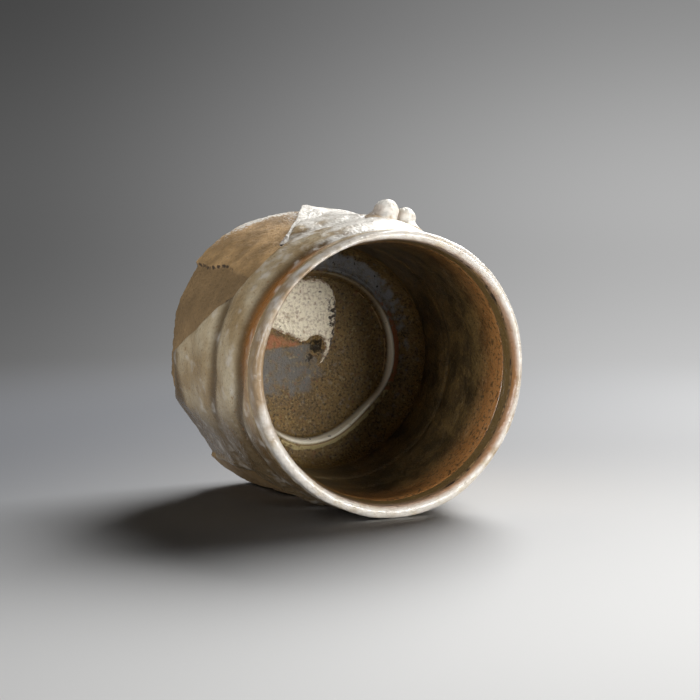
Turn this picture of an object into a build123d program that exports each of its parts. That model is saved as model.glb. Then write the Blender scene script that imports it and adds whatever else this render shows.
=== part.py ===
from build123d import *
from math import cos, radians, sin, tan
import os

os.makedirs("parts", exist_ok=True)

# The cup lies on its side on a table at Z = 0. Its axis runs along Y with the mouth facing -Y, and the origin is
# on the table under the middle of the cup's length. Heights are measured from the foot's face towards the lip,
# depths from the lip, and angles round the axis from +X towards +Z.

# Overall form
cup_height = 54.0
lip_radius = 28.0
lip_thickness = 2.6          # of the lip with its glaze
lip_band = 4.0               # height of the band at the lip that the white glaze covers
hip_radius = 31.2            # bare clay at its widest, low on the body
hip_height = 7.2
lip_lift = 0.15              # of the lip above the table that the cup lies on

# Coats
lip_coat = 0.6               # lip glaze, and the slip skin where it meets the lip glaze
skin_coat = 1.0              # slip skin at the hip
lining_coat = 0.45           # glaze on the inner wall and the floor

# Throwing rings, hollows that go round the clay and the skin on it
ring_first_depth = 9.6
ring_pitch = 12.0
ring_reliefs = (0.8, 0.65, 0.2)

# Floor and well
floor_height = 9.8           # clay at the bottom of the well
hip_wall = 6.2               # clay between the hip and the foot of the inner wall
inner_round = 4.0            # of the corner between wall and ledge
ledge_width = 0.9            # of the flat ledge round the well
well_bevel = 1.9             # width of the sloping side of the well
well_depth = 1.4             # clay of the well below the ledge
ridge_rise = 0.6             # of the glaze ring at the well's edge above the ledge

# Foot
foot_height = 4.0
foot_radius = 19.5
foot_width = 4.4
foot_flare = 1.0             # how much wider the ring is at its root, on either side

# Knife-cut facets of the clay, which lean with the wall
facet_angles = (306.0, 350.0, 36.0)
facet_cuts = (1.3, 1.3, 1.3)
facet_top_height = 40.0      # of their upper ends, under the skin

# Bulge of the clay on the upper left, widest at the hip
bulge_angle = 132.0
bulge_rise = 1.5             # over the hip
bulge_top_height = 36.0
bulge_shift = 6.0            # of the middle of its own round from the cup's axis
bulge_turn = 52.0            # to either side, about its own middle

# Long flat where the wall is pressed in on the left
flat_angle = 214.0
flat_end_angle = 224.0       # where it ends on the clay
flat_distance = 29.9         # of the skin's flat from the axis
flat_coat = 0.8              # thickness of the skin there

# Torn scallops of the skin's lower edge, the big one first
scallop_angles = (135.0, 182.0, 246.0, 306.0, 350.0, 36.0)
scallop_half_widths = (21.7, 7.0, 12.7, 10.7, 11.7, 11.2)
scallop_depths = (18.0, 42.5, 19.0, 24.0, 17.0, 22.0)        # of their tops
scallop_powers = (2.1, 2.0, 3.0, 2.2, 2.2, 2.2)              # the higher, the flatter the top

# Swelling of the skin under the pellets
swell_angle = 76.0
swell_height = 33.0
swell_length = 20.0
swell_rise = 0.8
swell_shift = 12.3           # of the middle of its own round from the cup's axis
swell_turn = 40.0            # to either side, about its own middle

# Torn crest on the right edge of the big scallop, which dies away round the cup
crest_angle = 92.0           # of its middle
crest_half_sweep = 20.0
crest_rises = (2.4, 0.8, -0.7)       # of its top over the skin, from the scallop's side
crest_sink = 0.7             # of its tail under the skin
crest_top_height = 10.0
crest_tail_height = 27.0

# Clay pellets, the large one first: round heads on wider roots
pellet_angles = (76.8, 68.0)
pellet_heights = (33.0, 33.5)
pellet_rises = (4.9, 4.5)    # of their tops over the skin beside the swelling
pellet_heads = (2.5, 2.8)
pellet_spreads = (3.7, 3.5)  # radii of the roots

# Ash patch on the well's floor, a crescent round the middle of the throwing spiral
ash_thickness = 0.35
ash_radius = 8.0
ash_angle = 110.0
ash_margin = 1.0             # between the patch and the side of the well
spiral_radius = 3.6
spiral_shift = (0.2, 2.0)

# Sizes that follow from those above
mouth_radius = lip_radius - lip_thickness
clay_lip_radius = lip_radius - lip_coat
clay_mouth_radius = mouth_radius + lining_coat
clay_lip_middle = (clay_lip_radius + clay_mouth_radius) / 2
clay_lip_round = (clay_lip_radius - clay_mouth_radius) / 2
clay_top = cup_height - lip_coat
lip_spring = clay_top - clay_lip_round                # where the lip begins to round over
lip_middle = (lip_radius + mouth_radius) / 2
band_height = cup_height - lip_band
ledge_height = floor_height + well_depth
inner_hip_radius = hip_radius - hip_wall
inner_hip_height = ledge_height + inner_round
ledge_radius = inner_hip_radius - inner_round
well_edge = ledge_radius - ledge_width
well_radius = well_edge - well_bevel
well_floor = floor_height + lining_coat
ledge_top = ledge_height + lining_coat
ash_shift = well_radius - lining_coat - ash_margin - ash_radius
hip_chamfer = hip_height - foot_height
skin_root = clay_mouth_radius + clay_lip_round / 2    # inside the clay, where the skin's sections begin
rest_distance = lip_radius + lip_lift                 # of the flat underneath from the axis
reach = 2 * hip_radius                                # long enough to cut clear of the cup


def wall_share(height):
    """Share of the way down the outer wall, from the lip's band to the hip."""
    return (band_height - height) / (band_height - hip_height)


def clay_radius(height):
    """Outside of the bare clay wall."""
    return clay_lip_radius + wall_share(height) * (hip_radius - clay_lip_radius)


def skin_radius(height):
    """Outside of the slip skin between its throwing rings."""
    return clay_radius(height) + lip_coat + wall_share(height) * (skin_coat - lip_coat)


def outward(angle):
    """Direction away from the axis at the angle."""
    return Vector(cos(radians(angle)), 0, sin(radians(angle)))


def on_axis(height):
    """Place on the cup's axis at the height."""
    return Vector(0, cup_height / 2 - height, rest_distance)


def profile_plane(angle):
    """Plane through the axis: local x runs outward at the angle, local y up the cup."""
    return Plane(origin=on_axis(0), x_dir=outward(angle), z_dir=outward(angle - 90))


def shifted_plane(angle, shift, turn):
    """Plane through an axis shifted towards the angle: local x runs outward from it, turned back from the angle."""
    origin = on_axis(0) + outward(angle) * shift
    return Plane(origin=origin, x_dir=outward(angle - turn), z_dir=outward(angle - turn - 90))


def side_plane(angle, distance):
    """Plane that faces outward at the angle: local x runs round the cup, local y up the cup."""
    origin = on_axis(0) + outward(angle) * distance
    return Plane(origin=origin, x_dir=outward(angle + 90), z_dir=outward(angle))


def facet_plane(angle, cut):
    """Plane that leans with the wall and lies under it by the cut: local y runs up the cup from the hip."""
    origin = on_axis(hip_height) + outward(angle) * (hip_radius - cut)
    facing = outward(angle) * (band_height - hip_height) + Vector(0, -1, 0) * (hip_radius - clay_lip_radius)
    return Plane(origin=origin, x_dir=outward(angle + 90), z_dir=facing)


def ringed(radius_at):
    """Points down the outer wall: the hollow of each throwing ring and the crown below it."""
    points = []
    for ring, relief in enumerate(ring_reliefs):
        hollow_height = cup_height - ring_first_depth - ring * ring_pitch
        crown_height = hollow_height - ring_pitch / 2
        points.append((radius_at(hollow_height) - relief, hollow_height))
        points.append((radius_at(crown_height), crown_height))
    return points


cup_axis = Axis(on_axis(0), (0, -1, 0))

# Flat underneath, just below the lip, on which the cup lies still
with BuildSketch(side_plane(270, rest_distance)) as resting_flat:
    with Locations((0, cup_height / 2)):
        Rectangle(2 * reach, cup_height)

# Long flat of the clay, which ends below the torn edge of the skin, and the flat of the skin on it
clay_flat_distance = flat_distance - flat_coat
with BuildSketch(side_plane(flat_angle, clay_flat_distance)) as clay_flat:
    with Locations((clay_flat_distance * tan(radians(flat_end_angle - flat_angle)), cup_height / 2)):
        Rectangle(reach, cup_height, align=(Align.MAX, Align.CENTER))

with BuildSketch(side_plane(flat_angle, flat_distance)) as skin_flat:
    with Locations((0, cup_height / 2)):
        Rectangle(2 * reach, cup_height)

# Scallops torn out of the skin above the hip
scallops = []
for angle, half_width, depth, power in zip(scallop_angles, scallop_half_widths, scallop_depths, scallop_powers):
    edge = []
    for share in (-1, -0.75, -0.5, -0.25, 0, 0.25, 0.5, 0.75, 1):
        drop = (cup_height - depth - hip_height) * abs(share) ** power
        edge.append((share * half_width, cup_height - depth - drop))
    with BuildSketch(side_plane(angle, 0)) as scallop:
        with BuildLine():
            Spline(*edge)
            Polyline(edge[-1], (half_width, 0), (-half_width, 0), edge[0])
        make_face()
    scallops.append(scallop.sketch)

# Thrown core: wall and floor from one lump of clay, pushed out on the upper left and cut with a knife elsewhere
bulge_plane = shifted_plane(bulge_angle, bulge_shift, bulge_turn)
bulge_hip = hip_radius + bulge_rise - bulge_shift
bulge_top = clay_radius(bulge_top_height) - bulge_shift
bulge_root = bulge_top - lip_coat
bulge_foot = min(bulge_root, bulge_hip - hip_chamfer - lip_coat)      # inside the chamfer of its hip

with BuildPart() as thrown_core:
    with BuildSketch(profile_plane(0)):
        with BuildLine():
            Polyline(
                (0, floor_height),
                (0, foot_height),
                (hip_radius - hip_chamfer, foot_height),
                (hip_radius, hip_height),
            )
            Spline((clay_lip_radius, band_height), *ringed(clay_radius), (hip_radius, hip_height))
            Line((clay_lip_radius, band_height), (clay_lip_radius, lip_spring))
            ThreePointArc(
                (clay_lip_radius, lip_spring), (clay_lip_middle, clay_top), (clay_mouth_radius, lip_spring)
            )
            Polyline(
                (clay_mouth_radius, lip_spring),
                (clay_mouth_radius, band_height),
                (inner_hip_radius, inner_hip_height),
            )
            CenterArc((ledge_radius, inner_hip_height), inner_round, 270, 90)
            Polyline(
                (ledge_radius, ledge_height),
                (well_edge, ledge_height),
                (well_radius, floor_height),
                (0, floor_height),
            )
        make_face()
    revolve(axis=cup_axis)
    with BuildSketch(bulge_plane):
        with BuildLine():
            Polyline(
                (bulge_foot, foot_height),
                (bulge_hip - hip_chamfer, foot_height),
                (bulge_hip, hip_height),
                (bulge_top - lip_coat / 2, bulge_top_height),
                (bulge_root, bulge_top_height),
                close=True,
            )
        make_face()
    revolve(axis=Axis(bulge_plane.origin, (0, -1, 0)), revolution_arc=2 * bulge_turn)
    for angle, cut in zip(facet_angles, facet_cuts):
        with BuildSketch(facet_plane(angle, cut)):
            with Locations((0, facet_top_height - hip_height)):
                Rectangle(2 * reach, cup_height, align=(Align.CENTER, Align.MAX))
        extrude(amount=reach, mode=Mode.SUBTRACT)
    extrude(clay_flat.sketch, amount=reach, mode=Mode.SUBTRACT)
    extrude(resting_flat.sketch, amount=reach, mode=Mode.SUBTRACT)
thrown_core.part.label = "thrown_core"
export_step(thrown_core.part, "parts/thrown_core.step")

# Foot ring: turned ring under the floor
with BuildPart() as foot_ring:
    with BuildSketch(profile_plane(0)):
        with BuildLine():
            Polyline(
                (foot_radius - foot_width, 0),
                (foot_radius, 0),
                (foot_radius + foot_flare, foot_height),
                (foot_radius - foot_width - foot_flare, foot_height),
                close=True,
            )
        make_face()
    revolve(axis=cup_axis)
foot_ring.part.label = "foot_ring"
export_step(foot_ring.part, "parts/foot_ring.step")

# Slip skin: thick cream coat with throwing rings, swollen under the pellets and torn to scallops at its lower edge
swell_plane = shifted_plane(swell_angle, swell_shift, swell_turn)
swell_low = swell_height - swell_length / 2
swell_high = swell_height + swell_length / 2
swell_root = clay_radius(swell_height) - skin_coat - swell_shift

with BuildPart() as slip_skin:
    with BuildSketch(profile_plane(0)):
        with BuildLine():
            Polyline(
                (hip_radius + skin_coat, hip_height),
                (skin_root, hip_height),
                (skin_root, band_height),
                (lip_radius, band_height),
            )
            Spline((lip_radius, band_height), *ringed(skin_radius), (hip_radius + skin_coat, hip_height))
        make_face()
    revolve(axis=cup_axis)
    with BuildSketch(swell_plane):
        with BuildLine():
            ThreePointArc(
                (clay_radius(swell_low) - swell_shift, swell_low),
                (skin_radius(swell_height) + swell_rise - swell_shift, swell_height),
                (clay_radius(swell_high) - swell_shift, swell_high),
            )
            Polyline(
                (clay_radius(swell_high) - swell_shift, swell_high),
                (swell_root, swell_height),
                (clay_radius(swell_low) - swell_shift, swell_low),
            )
        make_face()
    revolve(axis=Axis(swell_plane.origin, (0, -1, 0)), revolution_arc=2 * swell_turn)
    extrude(skin_flat.sketch, amount=reach, mode=Mode.SUBTRACT)
    for scallop in scallops:
        extrude(scallop, amount=reach, mode=Mode.SUBTRACT)
    extrude(resting_flat.sketch, amount=reach, mode=Mode.SUBTRACT)
    add(thrown_core.part, mode=Mode.SUBTRACT)
slip_skin.part.label = "slip_skin"
export_step(slip_skin.part, "parts/slip_skin.step")

# Torn crest: fin of clay that stands on the skin along the big scallop's edge
crest_end = hip_height + skin_coat
with BuildPart() as torn_crest:
    for turn, rise in zip((crest_half_sweep, 0, -crest_half_sweep), crest_rises):
        with BuildSketch(profile_plane(crest_angle + turn)):
            with BuildLine():
                Polyline(
                    (clay_radius(crest_tail_height) - skin_coat, crest_tail_height),
                    (skin_radius(crest_tail_height) - crest_sink, crest_tail_height),
                    (skin_radius(crest_top_height) + rise, crest_top_height),
                    (skin_radius(crest_end) + (rise - crest_sink) / 2, crest_end),
                    (clay_radius(crest_end) - skin_coat, crest_end),
                    close=True,
                )
            make_face()
    loft()
    extrude(scallops[0], amount=reach, mode=Mode.SUBTRACT)
    add(slip_skin.part, mode=Mode.SUBTRACT)
    add(thrown_core.part, mode=Mode.SUBTRACT)
torn_crest.part.label = "torn_crest"
export_step(torn_crest.part, "parts/torn_crest.step")

# Clay pellets: two lumps pressed on the skin, the small one against the large one
pellet_sketches = []
pellet_axes = []
for angle, height, rise, head, spread in zip(
    pellet_angles, pellet_heights, pellet_rises, pellet_heads, pellet_spreads
):
    root = clay_radius(height) - skin_coat
    top = skin_radius(height) + rise
    with BuildSketch(profile_plane(angle)) as pellet:
        with BuildLine():
            Polyline((top, height), (root, height), (root, height + spread), (top - head, height + head))
            CenterArc((top - head, height), head, 0, 90)
        make_face()
    pellet_sketches.append(pellet.sketch)
    pellet_axes.append(Axis(on_axis(height), outward(angle)))

with BuildPart() as large_pellet:
    revolve(pellet_sketches[0], axis=pellet_axes[0])
    add(slip_skin.part, mode=Mode.SUBTRACT)
    add(thrown_core.part, mode=Mode.SUBTRACT)
large_pellet.part.label = "large_pellet"
export_step(large_pellet.part, "parts/large_pellet.step")

with BuildPart() as small_pellet:
    revolve(pellet_sketches[1], axis=pellet_axes[1])
    add(slip_skin.part, mode=Mode.SUBTRACT)
    add(thrown_core.part, mode=Mode.SUBTRACT)
    add(large_pellet.part, mode=Mode.SUBTRACT)
small_pellet.part.label = "small_pellet"
export_step(small_pellet.part, "parts/small_pellet.step")

# Lip glaze: white glaze rolled over the lip
with BuildPart() as lip_glaze:
    with BuildSketch(profile_plane(0)):
        with BuildLine():
            Polyline(
                (clay_lip_radius, lip_spring),
                (clay_lip_radius, band_height),
                (lip_radius, band_height),
                (lip_radius, lip_spring),
            )
            ThreePointArc((lip_radius, lip_spring), (lip_middle, cup_height), (mouth_radius, lip_spring))
            Polyline(
                (mouth_radius, lip_spring),
                (mouth_radius, band_height),
                (clay_mouth_radius, band_height),
                (clay_mouth_radius, lip_spring),
            )
            ThreePointArc(
                (clay_mouth_radius, lip_spring), (clay_lip_middle, clay_top), (clay_lip_radius, lip_spring)
            )
        make_face()
    revolve(axis=cup_axis)
lip_glaze.part.label = "lip_glaze"
export_step(lip_glaze.part, "parts/lip_glaze.step")

# Wall glaze: dark lining of the inner wall
with BuildPart() as wall_glaze:
    with BuildSketch(profile_plane(0)):
        with BuildLine():
            Polyline(
                (clay_mouth_radius, band_height),
                (mouth_radius, band_height),
                (inner_hip_radius - lining_coat, inner_hip_height),
                (inner_hip_radius, inner_hip_height),
                close=True,
            )
        make_face()
    revolve(axis=cup_axis)
wall_glaze.part.label = "wall_glaze"
export_step(wall_glaze.part, "parts/wall_glaze.step")

# Floor glaze: lining of the ledge and the well, with a raised ring where it gathers at the well's edge
with BuildPart() as floor_glaze:
    with BuildSketch(profile_plane(0)):
        with BuildLine():
            CenterArc((ledge_radius, inner_hip_height), inner_round, 270, 90)
            Polyline((inner_hip_radius, inner_hip_height), (inner_hip_radius - lining_coat, inner_hip_height))
            CenterArc((ledge_radius, inner_hip_height), inner_round - lining_coat, 270, 90)
            Polyline(
                (ledge_radius, ledge_top),
                (well_edge - lining_coat, ledge_top + ridge_rise),
                (well_radius - lining_coat, well_floor),
                (0, well_floor),
                (0, floor_height),
                (well_radius, floor_height),
                (well_edge, ledge_height),
                (ledge_radius, ledge_height),
            )
        make_face()
    revolve(axis=cup_axis)
floor_glaze.part.label = "floor_glaze"
export_step(floor_glaze.part, "parts/floor_glaze.step")

# Ash patch: crust of melted ash on the floor of the well
with BuildPart() as ash_patch:
    with BuildSketch(Plane(origin=on_axis(well_floor), x_dir=(1, 0, 0), z_dir=(0, -1, 0))):
        with PolarLocations(ash_shift, 1, start_angle=ash_angle):
            Circle(ash_radius)
        with Locations(spiral_shift):
            Circle(spiral_radius, mode=Mode.SUBTRACT)
    extrude(amount=ash_thickness)
ash_patch.part.label = "ash_patch"
export_step(ash_patch.part, "parts/ash_patch.step")
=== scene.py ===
import bpy
import numpy as np
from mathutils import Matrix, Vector


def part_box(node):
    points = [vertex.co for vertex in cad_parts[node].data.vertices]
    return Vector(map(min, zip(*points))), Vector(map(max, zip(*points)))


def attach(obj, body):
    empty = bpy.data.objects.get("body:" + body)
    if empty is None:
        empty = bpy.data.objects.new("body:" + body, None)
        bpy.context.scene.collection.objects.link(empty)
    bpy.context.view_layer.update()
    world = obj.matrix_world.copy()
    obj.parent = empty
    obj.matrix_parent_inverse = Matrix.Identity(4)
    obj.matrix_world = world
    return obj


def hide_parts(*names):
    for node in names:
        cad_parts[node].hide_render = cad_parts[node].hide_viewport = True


# Looks of a small hand-thrown sake cup that lies on its side. Lengths are in millimetres and become metres
# when a mesh is made. As in the solids, the cup's axis runs along Y with the mouth facing -Y. Heights are
# measured from the foot's face towards the lip, depths from the lip, and angles in degrees round the axis
# from +X to +Z.
# A pair of values is the start and end of a soft step, or the middle and width of a soft bump.
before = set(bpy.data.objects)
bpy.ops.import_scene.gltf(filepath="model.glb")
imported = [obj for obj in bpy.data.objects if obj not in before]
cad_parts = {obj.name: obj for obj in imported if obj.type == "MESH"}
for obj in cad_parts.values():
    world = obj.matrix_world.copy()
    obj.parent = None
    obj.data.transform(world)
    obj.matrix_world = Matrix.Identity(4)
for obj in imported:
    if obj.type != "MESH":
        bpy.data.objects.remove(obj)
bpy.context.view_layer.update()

METRE = 1000.0


def node_box(node):
    """Lowest and highest corner of a solid in millimetres."""
    low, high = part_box(node)
    return low * METRE, high * METRE


# Sizes read from the solids
lip_low, lip_high = node_box("lip_glaze")
foot_low, foot_high = node_box("foot_ring")
wall_low, wall_high = node_box("wall_glaze")
skin_high = node_box("slip_skin")[1]
core_high = node_box("thrown_core")[1]
floor_high = node_box("floor_glaze")[1]
foot_face = foot_high.y
axis_height = (lip_low.z + lip_high.z) / 2
cup_height = foot_face - lip_low.y
lip_radius = (lip_high.x - lip_low.x) / 2
band_height = foot_face - lip_high.y  # of the lip glaze's lower edge
hip_height = foot_face - skin_high.y
hip_radius = core_high.z - axis_height
hip_skin = skin_high.z - axis_height
base_height = foot_face - foot_low.y
wall_foot = foot_face - wall_high.y
clay_mouth = (wall_high.x - wall_low.x) / 2
clay_floor = foot_face - floor_high.y

# Coats and lip
LINING = 0.45
LIP_COAT = 0.6
SKIN_LEAST = 0.45  # of the skin at its thinnest
LIP_ROUND = 1.4  # height of the rolled top of the lip
LIP_FLARE = 0.75  # how far the inside of the lip leans out
FLARE_LOSS = 0.7  # share of it that is missing on one side
FLARE_SIDE = (170.0, 60.0)
FLARE_DEPTHS = (5.5, 1.2)
WALL_TAPER = 0.85  # by which the wall's foot is narrower than the mouth
mouth_radius = clay_mouth - LINING
wall_foot_radius = mouth_radius - WALL_TAPER
lip_spring = cup_height - LIP_ROUND

# Stray of the wall from a true circle, as (cosine, sine) of one, two and three waves round the cup
OUTER_STRAY = ((0.20, -0.10), (0.20, 0.15), (-0.35, 0.20))
HIP_STRAY = ((0.45, 0.25),)
INNER_STRAY = ((-0.25, 0.30), (0.30, -0.15), (-0.12, 0.18))
INNER_STRAY_LOSS = 0.6  # share of it that is lost at the wall's foot
LIP_WAVES = ((0.10, 0.05), (0.16, -0.12), (0.06, 0.10))

# Throwing rings outside and inside, as (depth, width, relief) of each hollow
OUTER_RINGS = ((9.6, 2.6, 0.95), (22.4, 2.6, 0.80), (33.0, 2.4, 0.28))
INNER_RINGS = ((9.5, 1.6, 0.10), (17.0, 1.4, 0.12), (27.0, 0.7, 0.22), (33.5, 1.5, 0.12), (38.2, 0.8, 0.16))
RING_DRIFT = 0.9  # the rings climb a little as they go round
OUTER_DRIFT_START = 60.0
INNER_DRIFT_START = 150.0
RING_SAG = 5.0  # and sag where the wall is pressed flat
SAG_START = (180.0, 206.0)
SAG_END = (230.0, 290.0)
RING_LIFT = 0.12  # of the skin between the rings
BELOW_LIP = (0.0, 5.0)  # depths over which the rings begin

# Torn lower edge of the skin, as (angle, half-width, depth at the top, power of the curve) of each scallop
SCALLOPS = (
    (135.0, 44.0, 18.0, 1.9),
    (182.0, 13.0, 42.5, 2.0),
    (246.0, 24.0, 19.0, 3.0),
    (306.0, 20.0, 24.0, 2.2),
    (350.0, 22.0, 17.0, 2.2),
    (36.0, 21.0, 22.0, 2.2),
)
HEM_DEPTH = 46.2  # of the edge where the skin reaches the hip

# Knife-cut facets of the bare clay, as (angle, depth of the cut), and the arris where the two big ones meet
FACETS = ((172.0, 0.35), (306.0, 1.3), (350.0, 1.3), (36.0, 1.3))
CUT_REACH = 60.0  # angle beyond which a cut has left the cup
ARRIS_ANGLE = 141.0
ARRIS_WANDER = ((1.2, 5.0), (0.5, 1.9))  # degrees, and the length over which each sway turns by one radian
ARRIS_RISE = 0.45  # of the facet above the arris
ARRIS_DROP = 0.5  # of the facet below it
ARRIS_SPAN = 12.0  # angle over which the rise grows
ARRIS_EDGE = (-1.0, 1.0)
ARRIS_FADE = (2.0, 24.0)  # angles past it over which the drop ends
CRACK_WIDTH = 0.55
CRACK_DEPTHS = (13.0, 16.0)
CRACK_CUT = 0.3
CLAY_CLEAR = 0.3  # of the clay above the table

# Long flat that presses the skin in, and the hip
FLAT_ANGLE = 214.0
FLAT_DISTANCE = 29.9
FLAT_SINK = 0.8  # by which it lies deeper on the clay
FLAT_END = (222.0, 226.0)  # angles over which it stops at the bare clay
FLAT_CLEAR = 9.0
HIP_EXTRA = 0.2  # of the bare hip beyond the solid's
HIP_ROUND = 0.7
CRUMB_HEIGHTS = (0.2, 1.7)  # of its crumbs, from the hip
CRUMB_SINK = 0.1

# Bulge of the hip on the upper left, which dies away faster to the right
BULGE_ANGLE = 128.0
BULGE_RISE = 1.5
BULGE_WIDTHS = (22.0, 40.0)  # to the right and to the left

# Swelling of the skin round the pellets
SWELL_SIDE = (76.0, 16.0)
SWELL_DEPTHS = (21.0, 9.0)
SWELL_RISE = 1.3

# Unevenness of the surfaces, as (rise, size of the lumps, seed, count of ever finer layers)
HEM_LUMPS = (0.55, 5.0, 31, 3)
CLAY_LUMPS = (0.16, 6.0, 3)
CLAY_GRAIN = (0.06, 1.6, 5, 3)
CRUMBS = (0.28, 1.7, 8, 3)
SKIN_LUMPS = (0.18, 8.0, 11)
SKIN_GRAIN = (0.10, 2.6, 13, 3)
WALL_LUMPS = (0.10, 7.0, 17)
WALL_GRAIN = (0.025, 1.8, 19)
WELL_GRAIN = (0.05, 2.2, 23, 3)
WELL_LUMPS = (0.12, 6.5, 25)
RIDGE_WANDER = (0.16, 9.0, 27)
RIDGE_LUMPS = (0.09, 1.7, 29, 3)
EDGE_LUMPS = (0.4, 7.0, 37)
BASE_LUMPS = (0.12, 3.0, 41, 3)
LIP_LUMPS = (0.06, 3.0, 43, 3)
ASH_WANDER = (0.28, 1.6, 47)
ASH_LUMPS = (0.20, 2.4, 51, 3)
ASH_GRAIN = (1.0, 0.9, 55, 3)
CREST_LUMPS = (0.18, 4.0, 61)
CREST_GRAIN = (0.10, 1.6, 63, 3)
FOOT_LUMPS = (0.12, 3.0, 71, 3)
FOOT_GRAIN = (0.10, 2.2, 73, 3)

STEPS = 640  # points round the cup
turn = np.linspace(0.0, 360.0, STEPS, endpoint=False)[None, :]


# Helpers for shape

def smooth(low, high, value):
    """Soft step from 0 at low to 1 at high."""
    share = np.clip((value - low) / (high - low), 0.0, 1.0)
    return share * share * (3.0 - 2.0 * share)


def hump(value, centre, width):
    """Soft bump of height 1 at the centre."""
    return np.exp(-(((value - centre) / width) ** 2))


def turned_from(angle, direction):
    """Angle from a direction, between -180 and 180 degrees."""
    return (angle - direction + 180.0) % 360.0 - 180.0


def lobe(angle, direction, width, least=0.0):
    """Share that is 1 in a direction and falls off to the least share away from it."""
    return least + (1.0 - least) * hump(turned_from(angle, direction), 0.0, width)


def waves(angle, pairs):
    """Sum of one, two, three and more waves round the cup."""
    total = 0.0
    for count, (cosine, sine) in enumerate(pairs, start=1):
        phase = np.radians(count * angle)
        total = total + cosine * np.cos(phase) + sine * np.sin(phase)
    return total


def place(angle, height, radius):
    """Points at an angle round the axis, a height and a radius."""
    way = np.radians(angle)
    x = radius * np.cos(way)
    z = axis_height + radius * np.sin(way)
    return np.stack(np.broadcast_arrays(x, foot_face - height, z), axis=-1)


HASH_FACTORS = (73856093, 19349663, 83492791, 39916801)
HASH_STIR = 1274126177
HASH_SHIFTS = (13, 16)
HASH_MASK = 0xFFFFFFFF
BYTE_BITS = 8
BYTE_TOP = 255
SEED_SHIFT = 0.37
NOISE_GAIN = 1.4


def noise(points, size, seed):
    """Smooth noise from about -1 to 1 with lumps of the given size."""
    scaled = points / size + SEED_SHIFT * seed
    cell = np.floor(scaled)
    inside = scaled - cell
    fade = inside ** 3 * (inside * (inside * 6.0 - 15.0) + 10.0)
    cell = cell.astype(np.int64)
    total = np.zeros(points.shape[:-1])
    for corner in np.ndindex(2, 2, 2):
        lattice = cell + np.array(corner)
        mixed = np.full(points.shape[:-1], seed * HASH_FACTORS[3], dtype=np.int64)
        for axis in range(3):
            mixed = mixed ^ (lattice[..., axis] * HASH_FACTORS[axis])
        mixed = mixed & HASH_MASK
        mixed = ((mixed ^ (mixed >> HASH_SHIFTS[0])) * HASH_STIR) & HASH_MASK
        mixed = mixed ^ (mixed >> HASH_SHIFTS[1])
        lean = np.zeros(points.shape[:-1])
        weight = np.ones(points.shape[:-1])
        for axis in range(3):
            slope = ((mixed >> (BYTE_BITS * axis)) & BYTE_TOP) / (BYTE_TOP / 2) - 1.0
            lean = lean + slope * (inside[..., axis] - corner[axis])
            weight = weight * (fade[..., axis] if corner[axis] else 1.0 - fade[..., axis])
        total = total + lean * weight
    return NOISE_GAIN * total


def lumps(points, rise, size, seed, octaves=1):
    """Unevenness of a given rise, with finer lumps on it for each further octave."""
    total = 0.0
    for octave in range(octaves):
        total = total + noise(points, size / 2 ** octave, seed + octave) / 2 ** octave
    return rise * total


# Surfaces of the cup

LEAST_DOWN = 1e-3  # keeps the table's limit finite on the upper half


def wall_share(height):
    """Share of the way down the outer wall, from the lip's band to the hip."""
    return np.clip((band_height - height) / (band_height - hip_height), 0.0, None)


def above_table(angle, radius, gap=0.0):
    """Radius cut back where it would pass below the table."""
    down = np.maximum(-np.sin(np.radians(angle)), LEAST_DOWN)
    return np.minimum(radius, (axis_height - gap) / down)


def cut_at(distance, angle, direction):
    """Radius of a flat cut square to a direction, at a distance from the axis."""
    lean = np.clip(np.abs(turned_from(angle, direction)), 0.0, CUT_REACH)
    return distance / np.cos(np.radians(lean))


def hem_height(angle):
    """Height of the skin's torn lower edge."""
    depth = HEM_DEPTH + 0.0 * angle
    for direction, half_width, top, power in SCALLOPS:
        reach = np.abs(turned_from(angle, direction)) / half_width
        depth = np.minimum(depth, top + (HEM_DEPTH - top) * reach ** power)
    return cup_height - depth + lumps(place(angle, hip_height, hip_radius), *HEM_LUMPS)


def flat_limit(angle, distance):
    """Radius of the long flat on the left, which ends at the bare clay below it."""
    return cut_at(distance, angle, FLAT_ANGLE) + FLAT_CLEAR * smooth(*FLAT_END, angle % 360.0)


def hip_bulge(angle):
    """How far the hip swells on the upper left."""
    off = turned_from(angle, BULGE_ANGLE)
    return BULGE_RISE * hump(off, 0.0, np.where(off < 0.0, *BULGE_WIDTHS))


def arris_line(height):
    """Angle of the dark line where two facets meet."""
    angle = ARRIS_ANGLE
    for sway, length in ARRIS_WANDER:
        angle = angle + sway * np.sin(height / length)
    return angle


def clay_surface(angle, height):
    """Radius of the bare clay outside, with its knife-cut facets."""
    clay_lip = lip_radius - LIP_COAT
    cone = clay_lip + wall_share(height) * (hip_radius + HIP_EXTRA + hip_bulge(angle) - clay_lip)
    surface = cone
    for direction, cut in FACETS:
        surface = np.minimum(surface, cut_at(cone - cut, angle, direction))
    past_arris = turned_from(angle, arris_line(height))
    below_arris = smooth(*ARRIS_EDGE, past_arris)
    surface = surface + ARRIS_RISE * np.clip(1.0 + past_arris / ARRIS_SPAN, 0.0, 1.0) * (1.0 - below_arris)
    surface = surface - ARRIS_DROP * below_arris * (1.0 - smooth(*ARRIS_FADE, past_arris))
    surface = np.minimum(surface, flat_limit(angle, FLAT_DISTANCE - FLAT_SINK))
    below = hip_height - height
    surface = surface - (below + np.sqrt(below ** 2 + HIP_ROUND ** 2)) / 2
    spots = place(angle, height, surface)
    surface = surface + lumps(spots, *CLAY_LUMPS) + lumps(spots, *CLAY_GRAIN)
    at_hip = hump(height - hip_height, *CRUMB_HEIGHTS)
    surface = surface + at_hip * (lumps(spots, *CRUMBS) - CRUMB_SINK)
    crack = hump(past_arris, 0.0, CRACK_WIDTH) * smooth(*CRACK_DEPTHS, cup_height - height)
    return above_table(angle, surface - CRACK_CUT * crack, CLAY_CLEAR)


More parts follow.
